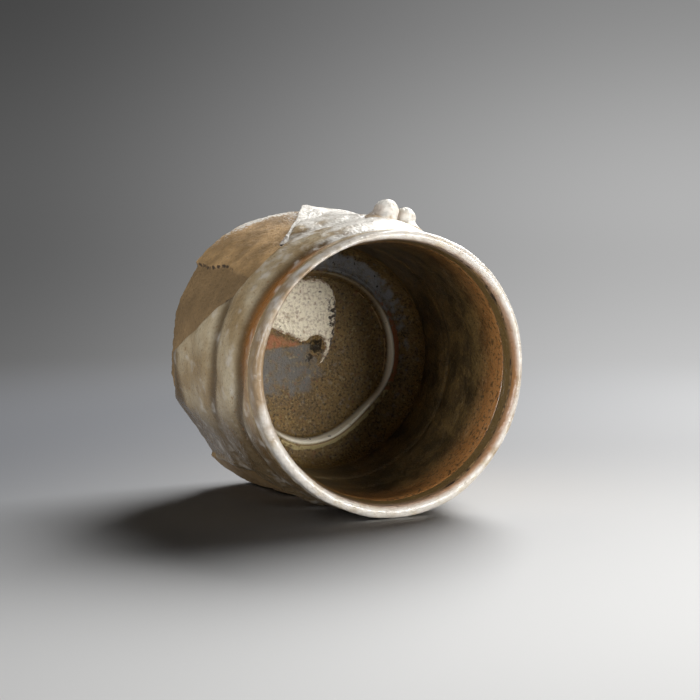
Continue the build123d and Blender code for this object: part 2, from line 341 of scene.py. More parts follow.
def ring_relief(angle, depth):
    """Throwing rings on the skin."""
    around = angle % 360.0
    sag = RING_SAG * smooth(*SAG_START, around) * (1.0 - smooth(*SAG_END, around))
    drifted = depth + RING_DRIFT * np.sin(np.radians(angle - OUTER_DRIFT_START)) - sag
    relief = RING_LIFT
    for centre, width, cut in OUTER_RINGS:
        relief = relief - cut * hump(drifted, centre, width)
    return relief


def skin_surface(angle, height):
    """Radius of the slip skin's outside before its edge rolls over."""
    depth = cup_height - height
    spread = hip_skin - lip_radius + waves(angle, HIP_STRAY) + hip_bulge(angle)
    surface = lip_radius + wall_share(height) * spread + waves(angle, OUTER_STRAY)
    surface = surface + SWELL_RISE * lobe(angle, *SWELL_SIDE) * hump(depth, *SWELL_DEPTHS)
    surface = np.minimum(surface, flat_limit(angle, FLAT_DISTANCE))
    below_lip = smooth(*BELOW_LIP, depth)
    surface = surface + below_lip * ring_relief(angle, depth)
    spots = place(angle, height, surface)
    return surface + lumps(spots, *SKIN_LUMPS) + below_lip * lumps(spots, *SKIN_GRAIN)


def clay_under(angle, height):
    """Radius of the clay, which follows the throwing rings where the skin covers it."""
    return np.minimum(clay_surface(angle, height), skin_surface(angle, height) - SKIN_LEAST)


def wall_surface(angle, height):
    """Radius of the glazed inner wall."""
    depth = cup_height - height
    share = np.clip((band_height - height) / (band_height - wall_foot), 0.0, 1.0)
    surface = mouth_radius + share * (wall_foot_radius - mouth_radius)
    surface = surface + waves(angle, INNER_STRAY) * (1.0 - INNER_STRAY_LOSS * share)
    drifted = depth + RING_DRIFT * np.sin(np.radians(angle - INNER_DRIFT_START))
    for centre, width, relief in INNER_RINGS:
        surface = surface + relief * hump(drifted, centre, width)
    flare = LIP_FLARE * (1.0 - FLARE_LOSS * lobe(angle, *FLARE_SIDE))
    surface = surface + flare * smooth(*FLARE_DEPTHS, depth)
    spots = place(angle, height, surface)
    return surface + lumps(spots, *WALL_LUMPS) + lumps(spots, *WALL_GRAIN)


# Floor of the cup, where X runs to the right and Z up from the axis as seen through the mouth
WELL_FLAT = 14.5  # radius where the floor's relief begins to die away
WELL_FOOT = 16.9  # radius where the side of the well begins to rise
WELL_TOP = 18.2  # radius of the ridge at the well's edge
WELL_STRAY = ((1.4, 312.0, 24.0), (-1.0, 256.0, 24.0))  # of the ridge, as (inwards, angle, width)
WELL_RISE = 1.75
RIDGE_RISE = 0.30
RIDGE_WIDTH = 0.55
RIDGE_ROUGH = 1.3  # width of the lumpy band along the ridge
GROOVE_REACH = 0.75  # from the ridge to the groove outside it
GROOVE_CUT = 0.16
GROOVE_WIDTH = 0.2
LEDGE_START = 20.3
LEDGE_END = 21.0
LEDGE_DROP = 0.45
well_level = clay_floor + LINING

# Rounds on the floor of the well, as (rise, X, Z, width), and the throwing spiral round the first
HOOK_CENTRE = (0.7, 1.9)
HOOK_HOLLOW = (-0.85, *HOOK_CENTRE, 1.45)
HOOK_TRAIL = (-0.30, -0.9, -0.6, 1.2)
ASH_MOUND = (0.70, -3.4, 8.8, 6.4)
RIPPLE_RISE = 0.02
RIPPLE_PITCH = 1.5
RIPPLE_SIDE = (-75.0, 55.0)
RIPPLE_REACH = (5.6, 2.6)


def mound(x, z, rise, middle_x, middle_z, width):
    """Soft round rise on the floor."""
    return rise * hump(np.hypot(x - middle_x, z - middle_z), 0.0, width)


def floor_relief(x, z):
    """Height of the well's floor above its level."""
    across = x - HOOK_CENTRE[0]
    up = z - HOOK_CENTRE[1]
    reach = np.hypot(across, up)
    bearing = np.arctan2(up, across)
    rounds = mound(x, z, *HOOK_HOLLOW) + mound(x, z, *HOOK_TRAIL) + mound(x, z, *ASH_MOUND)
    spiral = np.sin(2.0 * np.pi * reach / RIPPLE_PITCH + 2.0 * bearing)
    ripple = RIPPLE_RISE * spiral * lobe(np.degrees(bearing), *RIPPLE_SIDE) * hump(reach, *RIPPLE_REACH)
    spots = np.stack(np.broadcast_arrays(x, z, 0.0 * x), axis=-1)
    return rounds + ripple + lumps(spots, *WELL_GRAIN) + lumps(spots, *WELL_LUMPS)


def well_reach(angle, radius):
    """Distance from the middle, as it counts for the ring round the well, which strays from a circle."""
    for inwards, direction, width in WELL_STRAY:
        radius = radius + inwards * lobe(angle, direction, width)
    return radius


def floor_surface(angle, radius):
    """Height of the floor glaze inside the foot of the wall."""
    way = np.radians(angle)
    ring = place(angle, 0.0, radius)
    inner = well_reach(angle, radius) + lumps(ring, *RIDGE_WANDER)
    rise = WELL_RISE * smooth(WELL_FOOT, WELL_TOP, inner)
    ridge = RIDGE_RISE * hump(inner, WELL_TOP, RIDGE_WIDTH)
    drop = LEDGE_DROP * smooth(WELL_TOP + GROOVE_REACH, LEDGE_START, inner)
    groove = GROOVE_CUT * hump(inner, WELL_TOP + GROOVE_REACH, GROOVE_WIDTH)
    flat = 1.0 - smooth(WELL_FLAT, WELL_FOOT, radius)
    relief = flat * floor_relief(radius * np.cos(way), radius * np.sin(way))
    crumbs = lumps(ring, *RIDGE_LUMPS) * hump(inner, WELL_TOP, RIDGE_ROUGH)
    return well_level + rise + ridge - drop - groove + relief + crumbs


# Helpers for meshes

def ring_piece(name, rings, joined, layers):
    """Closed mesh from rings of points. The last ring joins the first, or each end closes in a point.

    Each layer of paint covers the first rings and the first points of a ring, and is zero on the rest.
    """
    count, steps = rings.shape[:2]
    index = np.arange(count * steps).reshape(count, steps)
    beside = np.roll(index, -1, axis=1)
    above = np.roll(index, -1, axis=0)
    above_beside = np.roll(beside, -1, axis=0)
    kept = count if joined else count - 1
    quads = np.stack((index, beside, above_beside, above), axis=-1)[:kept].reshape(-1, 4)
    points = rings.reshape(-1, 3)
    faces = quads.tolist()
    if not joined:
        for end, order in ((0, -1), (count - 1, 1)):
            tip = len(points)
            points = np.vstack((points, rings[end].mean(axis=0)))
            fan = np.stack((index[end], beside[end], np.full(steps, tip)), axis=-1)
            faces += fan[:, ::order].tolist()
    a, b, c, d = (points[quads[:, corner]] for corner in range(4))
    swept = np.einsum("ij,ij->i", a, np.cross(b, c) + np.cross(c, d)).sum()
    if swept < 0.0:
        faces = [face[::-1] for face in faces]
    mesh = bpy.data.meshes.new(name)
    mesh.from_pydata((points / METRE).tolist(), [], faces)
    mesh.polygons.foreach_set("use_smooth", np.ones(len(faces), dtype=bool))
    for label, layer in layers.items():
        shares = np.zeros((count, steps))
        shares[:layer.shape[0], :layer.shape[1]] = layer
        values = shares.reshape(-1)
        if not joined:
            values = np.append(values, (shares[0].mean(), shares[-1].mean()))
        mesh.attributes.new(label, "FLOAT", "POINT").data.foreach_set("value", values.astype(np.float32))
    mesh.update()
    piece = bpy.data.objects.new(name, mesh)
    bpy.context.scene.collection.objects.link(piece)
    return piece


def between(start, end, count):
    """Column of evenly spaced values."""
    return np.linspace(start, end, count)[:, None]


def all_round(column):
    """A column's values for each point round the cup."""
    return column + 0.0 * turn


def curve_through(corners, count):
    """Points evenly spread along a smooth curve through the corners."""
    corners = np.array(corners)
    spread = np.linspace(0.0, len(corners) - 1.0, count)
    start = np.minimum(spread.astype(int), len(corners) - 2)
    share = (spread - start)[:, None]
    padded = np.vstack((2.0 * corners[0] - corners[1], corners, 2.0 * corners[-1] - corners[-2]))
    a, b, c, d = (padded[start + step] for step in range(4))
    bend = 2.0 * a - 5.0 * b + 4.0 * c - d
    twist = 3.0 * b - a - 3.0 * c + d
    return b + 0.5 * share * (c - a + share * (bend + share * twist))


# Pieces of the cup

# Clay body: rows of points, trimming marks on the base, rim under the lip glaze, and what its paint follows
BASE_ROWS = 34
LOW_ROWS = 70
HIGH_ROWS = 90
RIM_ROWS = 12
LINING_ROWS = 24
FINE_HEIGHT = 14.0  # below it the rows lie closer
CENTRE_GAP = 0.02  # share of the radius left to the point that closes an end
TRIM_RISE = 0.10
TRIM_PITCH = 2.1
TRIM_EDGE = (0.0, 2.0)
RIM_SWEEP = (8.0, 172.0)
RIM_DROP = 0.8  # from the lip's spring to the clay's
RIM_RISE = 1.0
SIDE_START = (0.5, 2.5)  # heights above the base over which the side's paint begins
# Painted shadow in the crack along the arris: its width in degrees and the depths over which it sets in
ARRIS_SHADOW_WIDTH = 0.8
ARRIS_SHADOW_DEPTHS = (16.0, 34.0)
SHADED_FACET_END = (150.0, 115.0)  # angles past the arris over which the painted shade on the facet below it ends
CRUST_HEIGHTS = (1.2, 3.2)  # of the pale crust, from the hip
CRUST_SIDE = (110.0, 20.0)
SMEAR_SHARE = 0.6
SMEAR_SIDE = (99.0, 8.0)
SMEAR_DEPTHS = (20.0, 30.0)
SKIN_EDGE_SHADOW_HEIGHTS = (-1.6, -0.1)  # heights above the torn edge over which the clay darkens, from just below the edge to under the skin: a painted shadow under the skin's edge


def make_body():
    """Thrown clay body with its facets, base and rim."""
    base_edge = clay_surface(turn, base_height)
    base_radius = between(CENTRE_GAP, 1.0, BASE_ROWS)[:-1] * base_edge
    marks = place(turn, base_height, base_radius)
    trimming = TRIM_RISE * np.sin(2.0 * np.pi * base_radius / TRIM_PITCH + np.radians(turn))
    trimming = trimming * smooth(*TRIM_EDGE, base_edge - base_radius)
    base_rise = base_height + trimming + lumps(marks, *BASE_LUMPS)
    rim_spring = lip_spring - RIM_DROP
    low_side = between(base_height, FINE_HEIGHT, LOW_ROWS)
    high_side = between(FINE_HEIGHT, rim_spring, HIGH_ROWS)[1:]
    side_height = all_round(np.concatenate((low_side, high_side)))
    side_radius = clay_under(turn, side_height)
    outer = side_radius[-1:]
    inner = wall_surface(turn, band_height) + LINING
    sweep = np.radians(between(*RIM_SWEEP, RIM_ROWS))
    rim_radius = (outer + inner) / 2 + (outer - inner) / 2 * np.cos(sweep)
    rim_height = all_round(rim_spring + RIM_RISE * np.sin(sweep))
    lining_height = all_round(between(rim_spring, wall_foot, LINING_ROWS))
    lining_radius = wall_surface(turn, lining_height) + LINING
    floor_radius = between(1.0, CENTRE_GAP, LINING_ROWS) * lining_radius[-1:]
    floor_height = np.minimum(floor_surface(turn, floor_radius) - LINING, wall_foot)
    height = np.concatenate((base_rise, side_height, rim_height, lining_height, floor_height))
    radius = np.concatenate((base_radius, side_radius, rim_radius, lining_radius, floor_radius))
    depth = cup_height - height
    on_side = smooth(*SIDE_START, height - base_height)
    past_arris = turned_from(turn, arris_line(height))
    crust = hump(height - hip_height, *CRUST_HEIGHTS) * lobe(turn, *CRUST_SIDE)
    smear = SMEAR_SHARE * lobe(turn, *SMEAR_SIDE) * smooth(*SMEAR_DEPTHS, depth)
    layers = {
        # Painted shadow in the crack along the arris
        "arris_shadow": on_side * hump(past_arris, 0.0, ARRIS_SHADOW_WIDTH) * smooth(*ARRIS_SHADOW_DEPTHS, depth),
        # Painted shade: the facet below the arris, which faces away from the light, is greyer
        "lower": on_side * smooth(*ARRIS_EDGE, past_arris) * smooth(*SHADED_FACET_END, past_arris),
        "crust": on_side * np.maximum(crust, smear),
        # Painted shadow on the clay just below and under the skin's edge
        "skin_edge_shadow": smooth(*SKIN_EDGE_SHADOW_HEIGHTS, height - hem_height(turn)),
    }
    return ring_piece("clay_body", place(turn, height, radius), False, layers)


# Slip skin: rows of points, rolled edge, and what its paint follows
SKIN_ROWS = 92
SKIN_BACK_ROWS = 10
SKIN_CROWDING = 1.8  # power by which the rows crowd towards the torn edge
SKIN_LENGTH = 2.0  # least length below the lip glaze
SKIN_ROOT = 0.05  # depth of its hidden side in the clay
SKIN_BACK_START = 0.05  # share of the way up from the edge to the next row of that side
EDGE_ROLL = 1.1
EDGE_LIFT = 0.30
EDGE_LIFTED = (1.4, 1.6)
EDGE_EVEN = 0.6  # share of the lift that is the same all along the edge
EDGE_PALE = 1.3
STAIN_DEPTHS = (6.3, 3.0)
STAIN_SIDE = (150.0, 35.0, 0.15)
# Painted shade: the skin darkens on its underside and towards the hip, where shade falls
UNDERSIDE_SHADE_SHARE = 0.7
UNDERSIDE_SHADE_START = (184.0, 210.0)
UNDERSIDE_SHADE_END = (300.0, 340.0)
HIP_SHADE_SHARE = 0.9
HIP_SHADE_DEPTHS = (37.0, 42.0)
WHITE_AND_LIT_TOP_SIDE = (84.0, 29.0)  # of the white clay smeared round the crest and the pellets, which also stands in for light on the top as painted light
WHITE_AND_LIT_TOP_DEPTHS = (6.0, 12.0)


def make_skin():
    """Slip skin with throwing rings and a rolled, torn lower edge."""
    hem = np.minimum(hem_height(turn), band_height - SKIN_LENGTH)
    step = hip_radius * np.radians(360.0 / STEPS)
    slope = (np.roll(hem, -1, axis=1) - np.roll(hem, 1, axis=1)) / (2.0 * step)
    share = 1.0 - (1.0 - between(0.0, 1.0, SKIN_ROWS)) ** SKIN_CROWDING
    height = band_height - share * (band_height - hem)
    from_edge = (height - hem) / np.sqrt(1.0 + slope ** 2)
    clay = clay_under(turn, height)
    uneven = EDGE_EVEN + lumps(place(turn, height, clay), *EDGE_LUMPS)
    full = skin_surface(turn, height) + EDGE_LIFT * hump(from_edge, *EDGE_LIFTED) * uneven
    roll = np.sqrt(np.clip(1.0 - (1.0 - np.clip(from_edge / EDGE_ROLL, 0.0, 1.0)) ** 2, 0.0, 1.0))
    outside = above_table(turn, clay + (full - clay) * roll)
    back_share = between(SKIN_BACK_START, 1.0, SKIN_BACK_ROWS)
    back_height = np.concatenate((hem, hem + back_share * (band_height - hem)))
    inside = clay_under(turn, back_height) - SKIN_ROOT
    rings = np.concatenate((place(turn, height, outside), place(turn, back_height, inside)))
    depth = cup_height - height
    # Painted shade: darker in the hollows of the throwing rings, on the underside and towards the hip
    painted_shade = np.clip(-ring_relief(turn, depth) / OUTER_RINGS[0][2], 0.0, 1.0)
    underside_shade = UNDERSIDE_SHADE_SHARE * smooth(*UNDERSIDE_SHADE_START, turn) * (1.0 - smooth(*UNDERSIDE_SHADE_END, turn))
    at_hip = HIP_SHADE_SHARE * smooth(*HIP_SHADE_DEPTHS, depth)
    layers = {
        "amber": hump(depth, *STAIN_DEPTHS) * lobe(turn, *STAIN_SIDE),
        "painted_shade": np.maximum(painted_shade, np.maximum(underside_shade, at_hip)),
        "edge": hump(from_edge, 0.0, EDGE_PALE),
        # White clay smeared on top, and painted light on the top of the cup
        "white": lobe(turn, *WHITE_AND_LIT_TOP_SIDE) * smooth(*WHITE_AND_LIT_TOP_DEPTHS, depth),
    }
    return ring_piece("slip_coat", rings, True, layers)


# Lip glaze: rows of points, and what its paint follows on the way from the outside over the top to the inside
LIP_ROWS = 18
LIP_BACK_ROWS = 8
LIP_DROP = 0.15  # of its top below the solid's
LIP_TURN = 0.07  # by which the inner colours reach further up on one side
LIP_TURN_SIDE = (-8.0, 60.0)
LIP_AMBER_ROWS = (0.54, 0.74)
LIP_AMBER_SIDE = (-25.0, 65.0, 0.45)
LIP_INSIDE_ROWS = (0.70, 0.95)
LIP_THIN_ROWS = (0.22, 0.0)
LIP_TAN_SIDES = ((0.8, 165.0, 40.0), (0.3, 350.0, 40.0))  # as (share, angle, width)


def lip_rim(outer, inner, spring, top, rows):
    """Heights and radii of rings that go up the outside of the lip, over its top and down the inside."""
    climb = all_round(between(band_height, spring, rows))
    sweep = np.radians(between(0.0, 180.0, 2 * rows))[1:-1]
    middle = (outer(spring) + inner(spring)) / 2
    half = (outer(spring) - inner(spring)) / 2
    height = np.concatenate((climb, spring + (top - spring) * np.sin(sweep), climb[::-1]))
    radius = np.concatenate((outer(climb), middle + half * np.cos(sweep), inner(climb[::-1])))
    return height, radius


def make_lip():
    """White glaze rolled over the lip."""
    top = cup_height + waves(turn, LIP_WAVES) - LIP_DROP
    height, radius = lip_rim(
        lambda level: above_table(turn, skin_surface(turn, level)),
        lambda level: wall_surface(turn, level),
        lip_spring,
        top,
        LIP_ROWS,
    )
    height = height + lumps(place(turn, height, radius), *LIP_LUMPS)
    back_height, back_radius = lip_rim(
        lambda level: skin_surface(turn, level) - LIP_COAT,
        lambda level: wall_surface(turn, level) + LINING,
        lip_spring - LIP_COAT,
        top - LIP_COAT,
        LIP_BACK_ROWS,
    )
    rings = np.concatenate((place(turn, height, radius), place(turn, back_height, back_radius)[::-1]))
    across = all_round(between(0.0, 1.0, len(height)))
    inward = across + LIP_TURN * lobe(turn, *LIP_TURN_SIDE)
    tan = 0.0 * across
    for share, direction, width in LIP_TAN_SIDES:
        tan = tan + share * lobe(turn, direction, width)
    layers = {
        "amber": smooth(*LIP_AMBER_ROWS, inward) * lobe(turn, *LIP_AMBER_SIDE),
        "inside": smooth(*LIP_INSIDE_ROWS, inward),
        "tan": tan,
        "thin": smooth(*LIP_THIN_ROWS, across),
    }
    return ring_piece("lip_coat", rings, True, layers)


# Wall glaze
WALL_ROWS = 130
WALL_BACK_ROWS = 8
RIM_DEPTHS = (17.0, 3.5)
RIM_SIDE = (-35.0, 75.0, 0.45)


def make_wall():
    """Dark glaze on the inner wall."""
    height = all_round(between(band_height, wall_foot, WALL_ROWS))
    back_height = all_round(between(wall_foot, band_height, WALL_BACK_ROWS))
    front = place(turn, height, wall_surface(turn, height))
    back = place(turn, back_height, wall_surface(turn, back_height) + LINING)
    rim = smooth(*RIM_DEPTHS, cup_height - height) * lobe(turn, *RIM_SIDE)
    return ring_piece("wall_lining", np.concatenate((front, back)), True, {"rim": rim})


# Floor glaze: rows of points, and what its paint follows
WELL_ROWS = 60
LEDGE_ROWS = 46
CORNER_ROWS = 26
BACK_STRIDE = 6  # the hidden side has one row for so many
FLOOR_MIDDLE = 0.15
WELL_FINE = 16.5  # radius from which the rows lie closer
BACK_WIDENING = (0.0, 20.0)
LEDGE_LOWER = (285.0, 48.0)
LEDGE_RIGHT = (2.0, 26.0)
LEDGE_UPPER = (62.0, 45.0)
RIDGE_PALE_AND_GLINT = (-0.1, 0.65)  # from the ridge outwards, as the next
RIDGE_OUTSIDE = (0.1, 0.6)
RIDGE_GLINT_RIGHT = 0.75  # share of the pale ridge and its painted highlight on the right
RIDGE_GLINT_UPPER = 0.3
BAND_FADE = 0.6
GROOVE_PAINT = 0.24
SHEEN_END = (22.0, 23.6)
POOL_LINE = (1.5, 0.11, -10.6)  # upper edge of the grey pool, partly a painted reflection, as (Z, slope, X)
POOL_EDGE = (0.4, -0.4)
POOL_LOW = (-11.5, -5.5)
POOL_RIGHT = (5.0, -1.0)
POOL_TAPER = 0.5
POOL_MIDDLE = -2.5
WEDGE_LINE = (5.2, -0.36, -10.5)  # and of the rusty wedge above it
WEDGE_EDGE = (0.8, -0.8)
WEDGE_FOOT = (-0.5, 0.5)
WEDGE_TIP = (-1.6, -3.6)
# Painted shadow in the hook's hollow and its trail, as (share, X, Z, width)
HOOK_SHADOW = (1.0, *HOOK_CENTRE, 1.8)
TRAIL_SHADOW = (0.8, -0.9, -0.5, 1.2)


def line(x, level, slope, start):
    """Straight line on the floor."""
    return level + slope * (x - start)


def make_floor():
    """Glaze on the corner, the ledge and the well."""
    well = between(FLOOR_MIDDLE, WELL_FINE, WELL_ROWS)
    ledge = between(WELL_FINE, LEDGE_END, LEDGE_ROWS)[1:]
    flat_radius = all_round(np.concatenate((well, ledge)))
    flat_height = floor_surface(turn, flat_radius)
    sweep = np.radians(between(0.0, 90.0, CORNER_ROWS))[1:]
    corner_radius = LEDGE_END + (wall_surface(turn, wall_foot) - LEDGE_END) * np.sin(sweep)
    corner_height = wall_foot - (wall_foot - flat_height[-1:]) * np.cos(sweep)
    top_radius = np.concatenate((flat_radius, corner_radius))
    top_height = np.concatenate((flat_height, corner_height))
    back_radius = top_radius[::-BACK_STRIDE]
    back_radius = back_radius + LINING * smooth(*BACK_WIDENING, back_radius)
    height = np.concatenate((top_height, top_height[::-BACK_STRIDE] - LINING))
    radius = np.concatenate((top_radius, back_radius))
    x = top_radius * np.cos(np.radians(turn))
    z = top_radius * np.sin(np.radians(turn))
    lower = lobe(turn, *LEDGE_LOWER)
    right = lobe(turn, *LEDGE_RIGHT)
    upper = lobe(turn, *LEDGE_UPPER)
    reach = well_reach(turn, top_radius)
    past_ridge = reach - WELL_TOP
    # Painted highlight: the ridge's glaze breaks paler, and its paint also stands in for light catching it,
    # most on the lower arc
    pale_and_glint = np.clip(lower + RIDGE_GLINT_RIGHT * right + RIDGE_GLINT_UPPER * upper, 0.0, 1.0)
    outside_ridge = smooth(*RIDGE_OUTSIDE, past_ridge)
    band = outside_ridge * (1.0 - smooth(LEDGE_START - BAND_FADE, LEDGE_START, reach))
    above_pool = z - line(x, *POOL_LINE)
    wedge = smooth(*WEDGE_EDGE, z - line(x, *WEDGE_LINE)) * smooth(*WEDGE_FOOT, above_pool)
    pool_and_reflection = smooth(*POOL_EDGE, above_pool) * smooth(*POOL_LOW, z)
    layers = {
        "ridge": hump(past_ridge, *RIDGE_PALE_AND_GLINT) * pale_and_glint,
        # Painted light: the ledge outside the ridge is cream on the lower arc, where light falls on it
        "band": band * lower,
        "red": band * right,
        "groove": hump(past_ridge, GROOVE_REACH, GROOVE_PAINT) * lower,
        # Painted reflection: grey sheen on the upper ledge
        "sheen": outside_ridge * (1.0 - smooth(*SHEEN_END, top_radius)) * upper,
        "rust": wedge * smooth(*WEDGE_TIP, x),
        # Grey glaze pool on the lower left, partly a painted reflection
        "pool_and_reflection": pool_and_reflection * smooth(*POOL_RIGHT, x + POOL_TAPER * np.abs(z - POOL_MIDDLE)),
        # Painted shadow in the hook's hollow
        "hook_shadow": np.maximum(mound(x, z, *HOOK_SHADOW), mound(x, z, *TRAIL_SHADOW)),
    }
    return ring_piece("floor_lining", place(turn, height, radius), False, layers)


# Both edges of the ash from its thick end round to the tail beside the hook, as (X, Z) on the floor
ASH_OUTER = (
    (-13.2, 7.6), (-12.2, 11.6), (-7.2, 15.6), (-0.4, 16.9), (3.9, 15.5),
    (5.5, 10.6), (5.2, 5.2), (4.3, 1.4), (2.9, -1.2), (0.8, -2.8),
)
ASH_INNER = (
    (-12.9, 7.0), (-10.6, 6.0), (-8.0, 5.0), (-5.2, 3.8), (-2.5, 2.7),
    (-0.7, 3.9), (1.2, 4.1), (2.5, 2.6), (2.2, 0.2), (0.7, -2.7),
)
ASH_COLUMNS = 190
ASH_ROWS = 70
ASH_BACK_ROWS = 14
ASH_LENGTH = 16.0  # over which both ends taper
ASH_BEVEL = (0.0, 1.1)
ASH_THIN = (0.2, 1.6)
ASH_EDGE_LIFT = 0.25
ASH_EDGE = (1.0, 0.9)
ASH_COAT = 0.34
ASH_COAT_LEAST = 0.05
ASH_SINK = 0.06  # of its edge in the floor glaze
ASH_ROOT = 0.3  # and of its hidden side
FINE_GRAIN = 0.09
COARSE_GRAIN = 0.22
COARSE_ALONG = (0.35, 0.6)
COARSE_ACROSS = (0.4, 0.8)


def make_ash():
    """Crust of melted ash on the floor of the well, which curls round the hook."""
    outer = curve_through(ASH_OUTER, ASH_COLUMNS)[:, None]
    inner = curve_through(ASH_INNER, ASH_COLUMNS)[:, None]
    along = between(0.0, 1.0, ASH_COLUMNS)
    across = np.linspace(0.0, 1.0, ASH_ROWS)[None, :]
    inward = np.minimum(across, 1.0 - across) * np.linalg.norm(outer - inner, axis=-1)
    inward = np.minimum(inward, ASH_LENGTH * np.minimum(along, 1.0 - along))
    coarse = smooth(*COARSE_ALONG, along) * smooth(*COARSE_ACROSS, across)

    def lifted(share, rise):
        """Points on the floor between both edges, raised by what the rise makes of them."""
        spots = inner + share[..., None] * (outer - inner)
        spots = spots + lumps(np.dstack((spots, 0.0 * spots[..., :1])), *ASH_WANDER)[..., None]
        radius = np.hypot(spots[..., 0], spots[..., 1])
        angle = np.degrees(np.arctan2(spots[..., 1], spots[..., 0]))
        return place(angle, floor_surface(angle, radius) + rise(place(angle, 0.0, radius)), radius)

    def crust(spots):
        """Thickness of the ash at each of its points."""
        coat = ASH_COAT + ASH_EDGE_LIFT * hump(inward, *ASH_EDGE) * across + lumps(spots, *ASH_LUMPS)
        coat = coat + (FINE_GRAIN + COARSE_GRAIN * coarse) * lumps(spots, *ASH_GRAIN)
        return smooth(*ASH_BEVEL, inward) * np.maximum(coat, ASH_COAT_LEAST) - ASH_SINK

    back = np.linspace(1.0, 0.0, ASH_BACK_ROWS)[None, 1:-1]
    rings = np.concatenate((lifted(across, crust), lifted(back, lambda spots: -ASH_ROOT)), axis=1)
    return ring_piece("ash_crust", rings, False, {"thin": 1.0 - smooth(*ASH_THIN, inward), "coarse": coarse})


# Crest
CREST_ROWS = 60
CREST_FACE_ROWS = 14
CREST_BACK_ROWS = 16
CREST_RISE = 0.8
CREST_LEFT = 1.7  # overhang past the scallop's edge, in degrees
CREST_LEAN = 0.5  # of its steep face, in degrees
CREST_SPAN = 22.0
CREST_CURVE = 1.5  # power by which it falls off to the right
CREST_START = 21.0  # depth where it begins
CREST_FULL = 40.0
CREST_FALL = 44.5
CREST_END = 46.6
CREST_LOSS = 0.75  # share of the height that is lost at its end
CREST_TUCK = 0.35  # how far its right edge dips under the skin
CREST_FADE = 0.30  # and how far its weak start does
CREST_BROW = 0.05
CREST_ROOT = 0.2  # depth of its foot in the clay
CREST_HIDDEN = 0.6  # least depth of its hidden side under the skin
FACE_BROWN = (1.0, 0.6)
SLOPE_WORN = (0.5, 1.0)


def make_crest():
    """Fin of torn clay on the right edge of the big scallop."""
    direction, half_width, top, power = SCALLOPS[0]
    depth = between(CREST_START, CREST_END, CREST_ROWS)
    height = cup_height - depth
    left = direction - half_width * ((depth - top) / (HEM_DEPTH - top)) ** (1.0 / power) + CREST_LEFT
    strength = 1.0 - CREST_LOSS * smooth(CREST_FALL, CREST_END, depth)
    strength = strength * smooth(CREST_START, CREST_FULL, depth)
    face = np.linspace(0.0, 1.0, CREST_FACE_ROWS)[None, :]
    across = np.linspace(0.0, 1.0, CREST_ROWS)[None, 1:]
    back = np.linspace(1.0, 0.0, CREST_BACK_ROWS)[None, 1:-1]
    climb = np.sin(face * np.pi / 2)
    face_angle = left - CREST_LEAN * climb
    face_base = clay_surface(face_angle, height) - CREST_ROOT
    slope_angle = left - CREST_LEAN - across * CREST_SPAN
    slope_base = skin_surface(slope_angle, height)
    spots = place(slope_angle, height, slope_base)
    fall = (1.0 - across) ** CREST_CURVE
    rise = CREST_RISE * strength * (1.0 + lumps(spots, *CREST_LUMPS)) + lumps(spots, *CREST_GRAIN)
    slope_radius = slope_base + fall * rise - CREST_TUCK * across - CREST_FADE * (1.0 - strength)
    face_radius = face_base + (slope_radius[:, :1] + CREST_BROW - face_base) * climb
    back_angle = left - back * CREST_SPAN
    back_radius = clay_surface(back_angle, height) - CREST_ROOT
    back_radius = np.minimum(back_radius, skin_surface(back_angle, height) - CREST_HIDDEN)
    angle = np.concatenate((face_angle, slope_angle, back_angle), axis=1)
    radius = np.concatenate((face_radius, slope_radius, back_radius), axis=1)
    worn = smooth(*SLOPE_WORN, across) + 0.0 * depth
    layers = {
        "brown_and_shade": smooth(*FACE_BROWN, face) + 0.0 * depth,
        "worn": np.concatenate((0.0 * face_angle, worn), axis=1),
    }
    return ring_piece("torn_fin", place(angle, height, radius), False, layers)


# Pellets
ROUND_PELLET = dict(angle=76.8, depth=21.0, rise=4.1, head=2.5, flare=1.8, side=1.0, seed=81)
LOW_PELLET = dict(angle=69.5, depth=20.5, rise=3.6, head=2.2, flare=2.8, side=-1.0, seed=91)
PELLET_STEPS = 96
PELLET_ROWS = 60
PELLET_TIP = 0.06
PELLET_ROOT = 0.35  # depth of the root, as a share of the rise
PELLET_FLAT = 0.95  # height of the round top, as a share of the head's radius
PELLET_LONG = 1.15  # length along the cup, as a share of the width
PELLET_NECK = 0.06
PELLET_CURVE = 1.6  # power by which the root spreads
PELLET_CLOSE = 0.5  # share of the width that is lost at the end of the root
PELLET_HEART = 0.3
PELLET_LUMPS = (0.16, 1.9)
PELLET_GRAIN = (0.05, 0.7)
# Painted shade low on one flank of each pellet
PELLET_SHADE_SIDE = (0.3, 0.9)
PELLET_SHADE_RISE = (0.85, 0.45)
PELLET_WORN = (0.30, 0.0)


